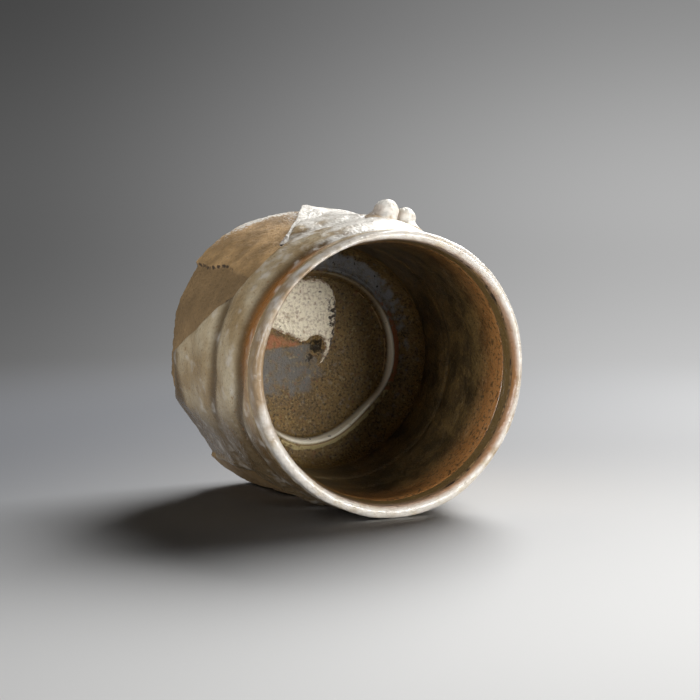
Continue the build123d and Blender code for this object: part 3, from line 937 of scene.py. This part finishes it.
def make_pellet(name, angle, depth, rise, head, flare, side, seed):
    """Lump of white clay: a round head on a root that spreads to the left (side 1) or to the right (-1)."""
    height = np.array([cup_height - depth])
    bearing = np.array([angle])
    seat = skin_surface(bearing, height)
    middle = place(bearing, height, seat)[0]
    way = np.radians(angle)
    out = np.array((np.cos(way), 0.0, np.sin(way)))
    round_way = np.array((-np.sin(way), 0.0, np.cos(way)))
    along = np.array((0.0, -1.0, 0.0))
    around = np.linspace(0.0, 2.0 * np.pi, PELLET_STEPS, endpoint=False)[None, :]
    share = 1.0 - (1.0 + PELLET_ROOT) * between(PELLET_TIP, 1.0, PELLET_ROWS) ** 2
    top = PELLET_FLAT * head
    ball = rise - top
    over = np.clip((share * rise - ball) / top, 0.0, 1.0)
    below = np.clip((ball - share * rise) / ball, 0.0, 1.0)
    lean = 0.5 + 0.5 * side * np.cos(around)
    width = head * np.sqrt(1.0 - over ** 2) * (1.0 - PELLET_NECK * below)
    width = width + flare * lean * below ** PELLET_CURVE
    width = width * (1.0 - PELLET_CLOSE * smooth(0.0, -PELLET_ROOT, share))
    sideways = width * np.cos(around)
    follow = sideways ** 2 / (2.0 * seat)
    rings = (
        middle
        + (share * rise - follow)[..., None] * out
        + sideways[..., None] * round_way
        + (PELLET_LONG * width * np.sin(around))[..., None] * along
    )
    lump = lumps(rings, *PELLET_LUMPS, seed) + lumps(rings, *PELLET_GRAIN, seed + 1)
    away = rings - (middle + PELLET_HEART * rise * out)
    away = away / np.linalg.norm(away, axis=-1, keepdims=True)
    layers = {
        # Painted shade low on one flank of the pellet
        "brown_and_shade": smooth(*PELLET_SHADE_SIDE, np.cos(around)) * smooth(*PELLET_SHADE_RISE, share),
        "worn": smooth(*PELLET_WORN, share) + 0.0 * around,
    }
    return ring_piece(name, rings + lump[..., None] * away, False, layers)


# Foot ring
FOOT_ROWS = 18
FOOT_FACE_ROWS = 26
FOOT_INNER = 15.1
FOOT_OUTER = 19.5
FOOT_FLARE = 1.0
FOOT_SINK = 0.4  # of its root in the base
FOOT_ROUND = 0.7
FOOT_CURVE = 0.35  # power of its rounded face
FOOT_MARK_RISE = 0.05
FOOT_MARK_PITCH = 0.9
FOOT_ROUGH = (3.5, 1.0)
FOOT_WORN = 0.8


def make_foot():
    """Turned foot ring with a worn, rounded face."""
    outer_height = all_round(between(base_height + FOOT_SINK, FOOT_ROUND, FOOT_ROWS))
    inner_height = outer_height[::-1]
    outer_radius = FOOT_OUTER + FOOT_FLARE * outer_height / base_height
    inner_radius = FOOT_INNER - FOOT_FLARE * inner_height / base_height
    face_share = between(0.0, 1.0, FOOT_FACE_ROWS)[1:-1]
    face_radius = outer_radius[-1:] + face_share * (inner_radius[:1] - outer_radius[-1:])
    face_height = all_round(FOOT_ROUND * (1.0 - np.sin(face_share * np.pi) ** FOOT_CURVE))
    height = np.concatenate((outer_height, face_height, inner_height))
    radius = np.concatenate((outer_radius, face_radius, inner_radius))
    spots = place(turn, height, radius)
    marks = FOOT_MARK_RISE * np.sin(2.0 * np.pi * height / FOOT_MARK_PITCH)
    radius = radius + lumps(spots, *FOOT_LUMPS) + marks
    height = np.maximum(height + lumps(spots, *FOOT_GRAIN) * smooth(*FOOT_ROUGH, height), 0.0)
    return ring_piece("foot_rim", place(turn, height, radius), True, {"worn": hump(height, 0.0, FOOT_WORN)})


# Helpers for paints

def linear(red, green, blue):
    """Colour given as eight-bit screen values, in the shader's linear light."""
    shades = []
    for value in (red, green, blue):
        share = value / 255.0
        shades.append(share / 12.92 if share <= 0.04045 else ((share + 0.055) / 1.055) ** 2.4)
    return (*shades, 1.0)


RAGGEDNESS = 0.9  # how far noise pushes the border of a painted share
PIT_EDGE = 0.05
MIX_SOCKETS = (0, 6, 7)  # share, first and second colour of a mix node
MIX_RESULT = 2
LENGTH_SUMS = ("DOT_PRODUCT", "LENGTH")  # operations that give one number


class Shading:
    """Shader nodes of a material or of the world, in the making."""

    def __init__(self, tree):
        self.nodes = tree.nodes
        self.links = tree.links
        self.coordinates = self.nodes.new("ShaderNodeTexCoord").outputs
        self.place = self.coordinates["Object"]

    def feed(self, socket, value):
        """Links a socket to another, or sets it to a plain value."""
        if isinstance(value, bpy.types.NodeSocket):
            self.links.new(value, socket)
        else:
            socket.default_value = value

    def range(self, value, low, high, start=0.0, end=1.0):
        """Soft step of a value from start at low to end at high."""
        node = self.nodes.new("ShaderNodeMapRange")
        node.interpolation_type = "SMOOTHSTEP"
        self.links.new(value, node.inputs["Value"])
        for label, number in (("From Min", low), ("From Max", high), ("To Min", start), ("To Max", end)):
            node.inputs[label].default_value = number
        return node.outputs["Result"]

    def math(self, operation, first, second):
        """Sum of two values, or whatever else the operation says."""
        node = self.nodes.new("ShaderNodeMath")
        node.operation = operation
        self.feed(node.inputs[0], first)
        self.feed(node.inputs[1], second)
        return node.outputs["Value"]

    def vector(self, operation, first, second=(0.0, 0.0, 0.0)):
        """Sum of two vectors, or whatever else the operation says."""
        node = self.nodes.new("ShaderNodeVectorMath")
        node.operation = operation
        self.links.new(first, node.inputs[0])
        node.inputs[1].default_value = second
        return node.outputs["Value" if operation in LENGTH_SUMS else "Vector"]

    def shaders(self, share, first, second):
        """Shader between two others."""
        node = self.nodes.new("ShaderNodeMixShader")
        for socket, source in zip(node.inputs, (share, first, second)):
            self.links.new(source, socket)
        return node.outputs["Shader"]

    def seen(self):
        """One for what the camera sees, also in a gloss or through glass, and otherwise zero."""
        rays = self.nodes.new("ShaderNodeLightPath").outputs
        mirrored = self.math("MAXIMUM", rays["Is Glossy Ray"], rays["Is Transmission Ray"])
        return self.math("MAXIMUM", rays["Is Camera Ray"], mirrored)


class Paint(Shading):
    """A node material in the making, patterned by place on the cup."""

    def __init__(self, name):
        self.material = bpy.data.materials.new(name)
        self.material.use_nodes = True
        super().__init__(self.material.node_tree)
        self.shader = self.nodes["Principled BSDF"]

    def noise(self, size, low=0.35, high=0.65, detail=4.0, most=1.0):
        """Noise with lumps of a size in millimetres, between 0 and the most."""
        node = self.nodes.new("ShaderNodeTexNoise")
        settings = {"Scale": METRE / size, "Detail": detail, "Roughness": 0.55}
        for label, number in settings.items():
            node.inputs[label].default_value = number
        self.links.new(self.place, node.inputs["Vector"])
        return self.range(node.outputs["Fac"], low, high, 0.0, most)

    def pits(self, size, rarity=0.66, most=1.0):
        """Scattered uneven spots of about a size in millimetres."""
        return self.noise(size, rarity, rarity + PIT_EDGE, detail=1.5, most=most)

    def layer(self, label, most=1.0):
        """Share painted on the mesh's points, up to the most."""
        node = self.nodes.new("ShaderNodeAttribute")
        node.attribute_name = label
        return self.math("MULTIPLY", node.outputs["Fac"], most)

    def soft(self, label, low=0.0, high=1.0, most=1.0):
        """Painted share with a soft border."""
        return self.range(self.layer(label), low, high, 0.0, most)

    def broken(self, label, size, low, high):
        """Painted share broken up by noise, so that its border wanders."""
        ragged = self.math("MULTIPLY_ADD", self.noise(size, low=0.25, high=0.75), RAGGEDNESS)
        ragged.node.inputs[2].default_value = -RAGGEDNESS / 2
        return self.range(self.math("ADD", self.layer(label), ragged), low, high)

    def coats(self, colour, *coats):
        """Colour with others laid over it in turn, each with its share."""
        for tint, share in coats:
            node = self.nodes.new("ShaderNodeMix")
            node.data_type = "RGBA"
            for socket, value in zip(MIX_SOCKETS, (share, colour, tint)):
                self.feed(node.inputs[socket], value)
            colour = node.outputs[MIX_RESULT]
        return colour

    def set(self, **settings):
        """Sets plain numbers on the shader's sockets."""
        for label, number in settings.items():
            self.shader.inputs[label.replace("_", " ")].default_value = number

    def finish(self, colour, roughness, bumps):
        """Sets the shader's colour, roughness and bump, given as (height, millimetres) pairs."""
        self.feed(self.shader.inputs["Base Color"], colour)
        self.feed(self.shader.inputs["Roughness"], roughness)
        normal = None
        for height, rise in bumps:
            node = self.nodes.new("ShaderNodeBump")
            node.inputs["Distance"].default_value = rise / METRE
            self.links.new(height, node.inputs["Height"])
            if normal:
                self.links.new(normal, node.inputs["Normal"])
            normal = node.outputs["Normal"]
        if normal:
            self.links.new(normal, self.shader.inputs["Normal"])
        return self.material


# Paints

CREAM = linear(192, 177, 148)
TAN = linear(154, 131, 96)
SHADE_AND_SPECKLE_BROWN = linear(86, 68, 43)
AMBER = linear(158, 100, 40)
CLAY = linear(190, 154, 106)
CLAY_DARK = linear(148, 119, 79)
SHADED_CLAY_GREY = linear(112, 91, 62)
UMBER = linear(62, 48, 34)
WHITE_CLAY = linear(222, 217, 208)
BEIGE = linear(200, 182, 156)
BROWN = linear(132, 100, 68)
LIP_WHITE = linear(212, 206, 197)
LIP_TAN = linear(152, 128, 98)
LIP_AMBER = linear(164, 112, 62)
OLIVE = linear(100, 80, 47)
OLIVE_DARK = linear(42, 33, 18)
OLIVE_LIGHT = linear(150, 126, 80)
FLOOR_OLIVE = linear(118, 94, 54)
RIDGE_CREAM_AND_GLINT = linear(240, 232, 212)
LIT_BAND_CREAM = linear(178, 162, 118)
RUST = linear(146, 92, 60)
POOL_AND_REFLECTION_GREY = linear(98, 94, 88)
SHEEN_REFLECTION_GREY = linear(134, 134, 134)
ASH = linear(240, 230, 206)
PIT = linear(26, 20, 14)
GRAIN = dict(low=0.2, high=0.8)  # limits of a fine, even grain
SLIP_ROUGHNESS = (0.24, 0.40)


def paint_slip():
    """Cream slip over tan, with painted shade in the hollows of the rings, on the underside and towards the
    hip, stained amber under the lip, and white on top, partly smeared white clay and partly painted light.
    """
    paint = Paint("cream slip")
    colour = paint.coats(
        CREAM,
        (TAN, paint.noise(size=9.0, low=0.3, high=0.7, detail=2.0)),
        # Painted shade in the ring hollows, on the underside and towards the hip; the same brown also
        # speckles the slip below
        (SHADE_AND_SPECKLE_BROWN, paint.soft("painted_shade", low=0.05, high=0.85, most=0.95)),
        (AMBER, paint.soft("amber", low=0.05, high=0.9, most=0.9)),
        (CREAM, paint.layer("edge", most=0.2)),
        # White smear on top, partly painted light
        (WHITE_CLAY, paint.broken("white", size=4.0, low=0.1, high=0.8)),
        (SHADE_AND_SPECKLE_BROWN, paint.noise(size=0.5, low=0.5, high=0.75, most=0.4)),
        (BROWN, paint.pits(size=0.8, most=0.7)),
    )
    roughness = paint.range(paint.noise(size=4.0), 0.0, 1.0, *SLIP_ROUGHNESS)
    bumps = ((paint.noise(size=0.5, **GRAIN), 0.03), (paint.noise(size=2.0, detail=2.0), 0.08))
    return paint.finish(colour, roughness, bumps)


def paint_clay():
    """Bare, knife-cut clay, with painted shade on the facet below the arris, a painted shadow along the arris
    and under the skin's edge, and a pale crust at the hip.
    """
    paint = Paint("bare clay")
    colour = paint.coats(
        CLAY,
        (CLAY_DARK, paint.noise(size=7.0)),
        # Painted shade on the facet below the arris
        (SHADED_CLAY_GREY, paint.layer("lower", most=0.7)),
        (UMBER, paint.noise(size=0.6, low=0.45, high=0.75, most=0.3)),
        # Painted shadow along the arris
        (UMBER, paint.broken("arris_shadow", size=1.2, low=0.5, high=1.1)),
        # Painted shadow under the skin's edge
        (UMBER, paint.broken("skin_edge_shadow", size=1.6, low=0.6, high=1.3)),
        (WHITE_CLAY, paint.broken("crust", size=0.6, low=0.45, high=0.8)),
        (UMBER, paint.pits(size=0.5, most=0.5)),
    )
    bumps = ((paint.noise(size=0.35, **GRAIN), 0.08), (paint.noise(size=1.1), 0.08))
    return paint.finish(colour, roughness=0.6, bumps=bumps)


def paint_white():
    """White clay, brown on the crest's steep face and with painted shade low on one flank of each pellet."""
    paint = Paint("white clay")
    colour = paint.coats(
        WHITE_CLAY,
        (BEIGE, paint.noise(size=1.8, low=0.5, high=0.85)),
        (BEIGE, paint.broken("worn", size=1.5, low=0.4, high=1.2)),
        # Brown on the crest's face, painted shade on the pellets
        (BROWN, paint.soft("brown_and_shade", low=0.1, most=0.45)),
    )
    bumps = ((paint.noise(size=0.4, **GRAIN), 0.05), (paint.noise(size=1.0), 0.10))
    return paint.finish(colour, roughness=0.38, bumps=bumps)


def paint_lip():
    """Glossy cream glaze, thin and amber at its edges."""
    paint = Paint("white lip glaze")
    colour = paint.coats(
        LIP_WHITE,
        (CREAM, paint.noise(size=3.0, low=0.45, high=0.8)),
        (LIP_TAN, paint.broken("tan", size=4.0, low=0.0, high=0.9)),
        (TAN, paint.broken("thin", size=2.5, low=0.3, high=1.0)),
        (TAN, paint.noise(size=0.7, low=0.5, high=0.75, most=0.35)),
        (LIP_AMBER, paint.soft("amber", most=0.85)),
        (OLIVE, paint.soft("inside")),
    )
    paint.set(Coat_Weight=0.3, Coat_Roughness=0.15)
    bumps = ((paint.noise(size=1.4), 0.10), (paint.noise(size=0.5, **GRAIN), 0.03))
    return paint.finish(colour, roughness=0.32, bumps=bumps)


def paint_wall():
    """Dark olive glaze, finely speckled and glossy, browner towards the lip."""
    paint = Paint("olive glaze")
    colour = paint.coats(
        OLIVE,
        (OLIVE_DARK, paint.noise(size=5.0)),
        (LIP_AMBER, paint.soft("rim", most=0.9)),
        (OLIVE_LIGHT, paint.noise(size=0.5, low=0.52, high=0.72, most=0.55)),
        (OLIVE_DARK, paint.noise(size=0.7, low=0.5, high=0.66, most=0.85)),
        (PIT, paint.pits(size=0.8, rarity=0.70)),
    )
    paint.set(Coat_Weight=0.6, Coat_Roughness=0.12)
    return paint.finish(colour, roughness=0.32, bumps=((paint.noise(size=0.6), 0.04),))


def paint_floor():
    """Olive floor glaze: speckled well, pale ridge with a painted highlight, cream band of painted light on
    the lower ledge, rusty wedge, grey pool that is partly a painted reflection, a painted reflection of grey
    sheen on the upper ledge and painted shadow in the hook.
    """
    paint = Paint("floor glaze")
    colour = paint.coats(
        FLOOR_OLIVE,
        (OLIVE, paint.noise(size=4.0)),
        (OLIVE_LIGHT, paint.noise(size=0.45, low=0.5, high=0.72, most=0.6)),
        (OLIVE_DARK, paint.noise(size=0.6, low=0.48, high=0.66, most=0.85)),
        # Grey pool, partly painted reflection
        (POOL_AND_REFLECTION_GREY, paint.broken("pool_and_reflection", size=1.6, low=0.2, high=1.2)),
        # Painted reflection on the upper ledge
        (SHEEN_REFLECTION_GREY, paint.broken("sheen", size=1.5, low=0.1, high=1.1)),
        (RUST, paint.broken("rust", size=1.3, low=0.2, high=1.3)),
        # Painted light on the ledge's lower arc
        (LIT_BAND_CREAM, paint.broken("band", size=1.0, low=0.2, high=0.8)),
        (RUST, paint.broken("red", size=1.2, low=0.2, high=0.8)),
        # Painted shadow in the hook
        (OLIVE_DARK, paint.broken("hook_shadow", size=0.8, low=0.3, high=0.8)),
        (BROWN, paint.soft("groove", low=0.2, high=0.9, most=0.8)),
        # Pale ridge and painted highlight
        (RIDGE_CREAM_AND_GLINT, paint.soft("ridge", low=0.15, high=0.7)),
        (PIT, paint.pits(size=0.8, rarity=0.70)),
    )
    paint.set(Specular_IOR_Level=0.18)
    return paint.finish(colour, roughness=0.36, bumps=((paint.noise(size=0.45, **GRAIN), 0.12),))


def paint_ash():
    """Cream ash crust, mottled brown and pitted."""
    paint = Paint("cream ash")
    colour = paint.coats(
        ASH,
        (BEIGE, paint.noise(size=1.1, low=0.5, high=0.75)),
        (BROWN, paint.noise(size=0.6, low=0.46, high=0.7, detail=6.0, most=0.6)),
        (BROWN, paint.broken("thin", size=0.8, low=0.6, high=1.2)),
        (UMBER, paint.broken("coarse", size=1.0, low=0.75, high=1.1)),
        (PIT, paint.pits(size=1.3, rarity=0.69)),
    )
    return paint.finish(colour, roughness=0.55, bumps=((paint.noise(size=0.6, detail=6.0, **GRAIN), 0.25),))


def paint_foot():
    """Unglazed foot, toasted brown with paler wear."""
    paint = Paint("foot clay")
    colour = paint.coats(
        CLAY,
        (CLAY_DARK, paint.noise(size=3.0)),
        (BEIGE, paint.broken("worn", size=1.4, low=0.5, high=1.1)),
        (UMBER, paint.pits(size=0.7, most=0.7)),
    )
    return paint.finish(colour, roughness=0.78, bumps=((paint.noise(size=0.4, **GRAIN), 0.10),))


white_clay = paint_white()

# Each piece with its paint, its material slot and the solid that it stands for
dressed = (
    (make_body(), paint_clay(), "bare_clay", "thrown_core"),
    (make_foot(), paint_foot(), "foot_clay", "foot_ring"),
    (make_skin(), paint_slip(), "cream_slip", "slip_skin"),
    (make_crest(), white_clay, "white_clay", "torn_crest"),
    (make_pellet("round_pellet", **ROUND_PELLET), white_clay, "white_clay", "large_pellet"),
    (make_pellet("low_pellet", **LOW_PELLET), white_clay, "white_clay", "small_pellet"),
    (make_lip(), paint_lip(), "white_glaze", "lip_glaze"),
    (make_wall(), paint_wall(), "olive_glaze", "wall_glaze"),
    (make_floor(), paint_floor(), "floor_glaze", "floor_glaze"),
    (make_ash(), paint_ash(), "cream_ash", "ash_patch"),
)
for piece, material, slot, node in dressed:
    piece.data.materials.append(material)
    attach(piece, "root")
    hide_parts(node)


# Stage: a wide pale floor that fades into a grey backdrop without a horizon. Its lengths are in metres.

STAGE_HALF = 30.0
FLOOR_GAP = 0.00002
FLOOR_RIGHT = (0.924, -0.383, 0.0)  # level directions to the right of the view
FLOOR_AHEAD = (0.383, 0.924, 0.0)  # away from the viewer
FLOOR_PALER = (1.576, -1.947, 0.0)  # and in which the floor turns paler, a painted fall-off of light
FLOOR_PALER_REACH = (-0.32, 0.26)
FLOOR_DIM = (0.172, 0.18, 0.20, 1.0)
FLOOR_PALE = (0.93, 0.935, 0.94, 1.0)
FLOOR_FALL = 0.6  # how far it darkens behind the cup, painted shade
FLOOR_FALL_REACH = (-0.12, 0.08)
FLOOR_FADE = (0.09, 0.34)  # distances from the cup over which the backdrop's grey takes over

# Shares of the backdrop's grey from left to right, at the top, below the level of the eye and on the mouth's
# side, each with the range of the direction over which it changes
UP = (0.0, 0.0, 1.0)
DOWN = (0.0, 0.0, -1.0)
BACKDROP_GREY = (-0.27, 0.27, 0.10, 0.46)
BACKDROP_TOP = (0.0, 0.17, 1.0, 0.55)
BACKDROP_LOW = (0.02, 0.22, 1.0, 1.7)
BACKDROP_BEHIND = (-0.5, 0.7, 0.5, 1.0)
BACKDROP_HEART = (-0.15, -0.38, 0.075)  # place that the backdrop's grey fans out from on the sheet


def make_stage():
    """Flat sheet under the cup."""
    corners = ((-1.0, -1.0), (1.0, -1.0), (1.0, 1.0), (-1.0, 1.0))
    mesh = bpy.data.meshes.new("studio_sheet")
    points = [(x * STAGE_HALF, y * STAGE_HALF, -FLOOR_GAP) for x, y in corners]
    mesh.from_pydata(points, [], [(0, 1, 2, 3)])
    sheet = bpy.data.objects.new("studio_sheet", mesh)
    bpy.context.scene.collection.objects.link(sheet)
    return sheet


def backdrop_grey(shading, direction):
    """Grey of the backdrop in a direction, paler to the right and darker upwards: a painted fall-off of
    light, which the world and the far sheet show as a glow.
    """
    grey = shading.range(shading.vector("DOT_PRODUCT", direction, FLOOR_RIGHT), *BACKDROP_GREY)
    for way, change in ((UP, BACKDROP_TOP), (DOWN, BACKDROP_LOW), (FLOOR_AHEAD, BACKDROP_BEHIND)):
        share = shading.range(shading.vector("DOT_PRODUCT", direction, way), *change)
        grey = shading.math("MULTIPLY", grey, share)
    return grey


def paint_stage():
    """Pale matt sheet, painted paler towards the front right and darker behind the cup as painted fall-off of
    light, that takes on the backdrop's grey far from the cup.
    """
    paint = Paint("studio sheet")
    lit_falloff = paint.range(paint.vector("DOT_PRODUCT", paint.place, FLOOR_PALER), *FLOOR_PALER_REACH)
    shade_behind = paint.range(
        paint.vector("DOT_PRODUCT", paint.place, FLOOR_AHEAD), *FLOOR_FALL_REACH, end=FLOOR_FALL
    )
    colour = paint.coats(FLOOR_DIM, (FLOOR_PALE, lit_falloff), (FLOOR_DIM, shade_behind))
    material = paint.finish(colour, roughness=0.8, bumps=())
    direction = paint.vector("NORMALIZE", paint.vector("SUBTRACT", paint.place, BACKDROP_HEART))
    glow = paint.nodes.new("ShaderNodeEmission")
    paint.links.new(backdrop_grey(paint, direction), glow.inputs["Color"])
    far = paint.range(paint.vector("LENGTH", paint.place), *FLOOR_FADE)
    far = paint.math("MULTIPLY", far, paint.seen())
    mixed = paint.shaders(far, paint.shader.outputs["BSDF"], glow.outputs["Emission"])
    paint.links.new(mixed, paint.nodes["Material Output"].inputs["Surface"])
    return material


sheet = make_stage()
sheet.data.materials.append(paint_stage())


# Light

CUP_MIDDLE = Vector((0.0, 0.0, axis_height)) / METRE
WARM = (1.0, 0.99, 0.97)
COOL = (0.97, 0.98, 1.0)
ROOM_GREY = linear(190, 194, 200)
AMBIENT = 0.02


def add_lamp(name, azimuth, elevation, distance, size, power, colour=WARM):
    """Soft lamp that faces the cup. Azimuth runs from +X towards +Y."""
    lamp = bpy.data.lights.new(name, "AREA")
    lamp.shape = "RECTANGLE"
    lamp.size, lamp.size_y = size
    lamp.energy = power
    lamp.color = colour
    holder = bpy.data.objects.new(name, lamp)
    a, e = np.radians(azimuth), np.radians(elevation)
    away = Vector((np.cos(a) * np.cos(e), np.sin(a) * np.cos(e), np.sin(e)))
    holder.location = CUP_MIDDLE + away * distance
    holder.rotation_euler = away.to_track_quat("Z", "Y").to_euler()
    bpy.context.scene.collection.objects.link(holder)
    return holder


add_lamp("key", azimuth=34.0, elevation=41.0, distance=0.85, size=(0.65, 0.4), power=12.0)

# The two weaker lamps are screened off from the sheet
cup_pieces = bpy.data.collections.new("cup_pieces")
for piece, *_ in dressed:
    cup_pieces.objects.link(piece)
for lamp in (
    add_lamp("front", azimuth=-62.0, elevation=3.0, distance=0.9, size=(0.35, 0.25), power=10.0),
    add_lamp("fill", azimuth=203.0, elevation=14.0, distance=1.0, size=(0.5, 0.4), power=6.8, colour=COOL),
):
    lamp.light_linking.receiver_collection = cup_pieces


def make_world():
    """Faint light from all round, with the backdrop's grey where it is seen."""
    world = bpy.data.worlds.new("soft room")
    world.use_nodes = True
    shading = Shading(world.node_tree)
    ambient = shading.nodes["Background"]
    ambient.inputs["Color"].default_value = ROOM_GREY
    ambient.inputs["Strength"].default_value = AMBIENT
    backdrop = shading.nodes.new("ShaderNodeBackground")
    shading.links.new(backdrop_grey(shading, shading.coordinates["Generated"]), backdrop.inputs["Color"])
    mixed = shading.shaders(shading.seen(), ambient.outputs["Background"], backdrop.outputs["Background"])
    shading.links.new(mixed, shading.nodes["World Output"].inputs["Surface"])
    return world


bpy.context.scene.world = make_world()


# Camera

CAMERA_PLACE = Vector((-114.35, -280.4, 58.34)) / METRE
CAMERA_LOOK = Vector((0.381, 0.920, -0.0912))
CAMERA_LENS = 75.0
CAMERA_SENSOR = 36.0
CAMERA_NEAR = 0.01  # in metres
camera = bpy.data.cameras.new("view")
camera.lens = CAMERA_LENS
camera.sensor_width = CAMERA_SENSOR
camera.clip_start = CAMERA_NEAR
viewer = bpy.data.objects.new("view", camera)
viewer.location = CAMERA_PLACE
viewer.rotation_euler = CAMERA_LOOK.to_track_quat("-Z", "Y").to_euler()
bpy.context.scene.collection.objects.link(viewer)
bpy.context.scene.camera = viewer
bpy.context.scene.view_settings.view_transform = "Standard"
